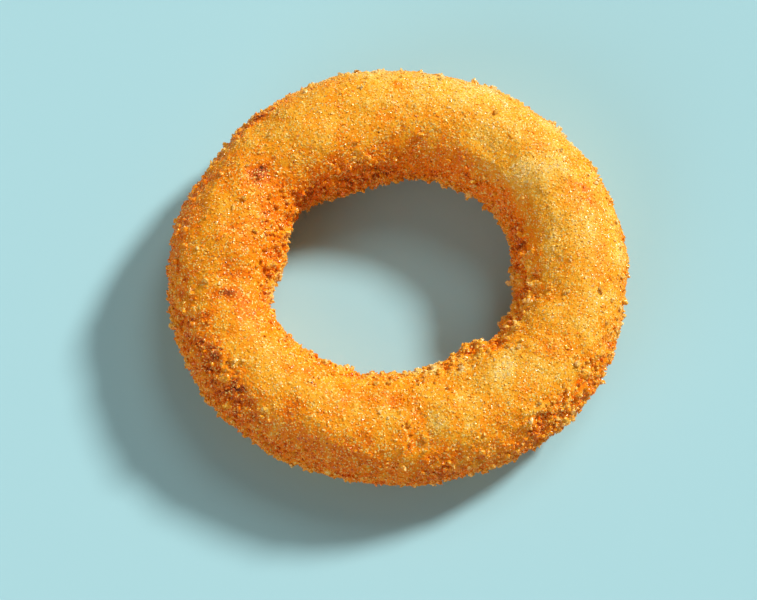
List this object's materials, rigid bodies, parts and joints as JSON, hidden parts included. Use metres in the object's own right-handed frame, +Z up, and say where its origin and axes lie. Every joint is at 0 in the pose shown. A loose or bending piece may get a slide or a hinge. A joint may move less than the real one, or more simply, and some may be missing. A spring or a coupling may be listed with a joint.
{
  "type": "onion ring",
  "caption": "Breaded onion ring: an uneven, slightly oval round band of golden fried crumb around an open hole, lying flat.",
  "frame": {"origin": "on the surface the ring rests on, under the middle of its bounding box", "axes": "+X along the ring's longer side, +Y along its shorter side, +Z up out of the ring's flat lie"},
  "size_m": [0.072, 0.0662, 0.0178],
  "materials": {
    "golden_crumb": "fine fried breadcrumb coating, rough, golden with browner patches"
  },
  "bodies": {
    "root": {"onion_ring": "golden_crumb"}
  },
  "joints": []
}
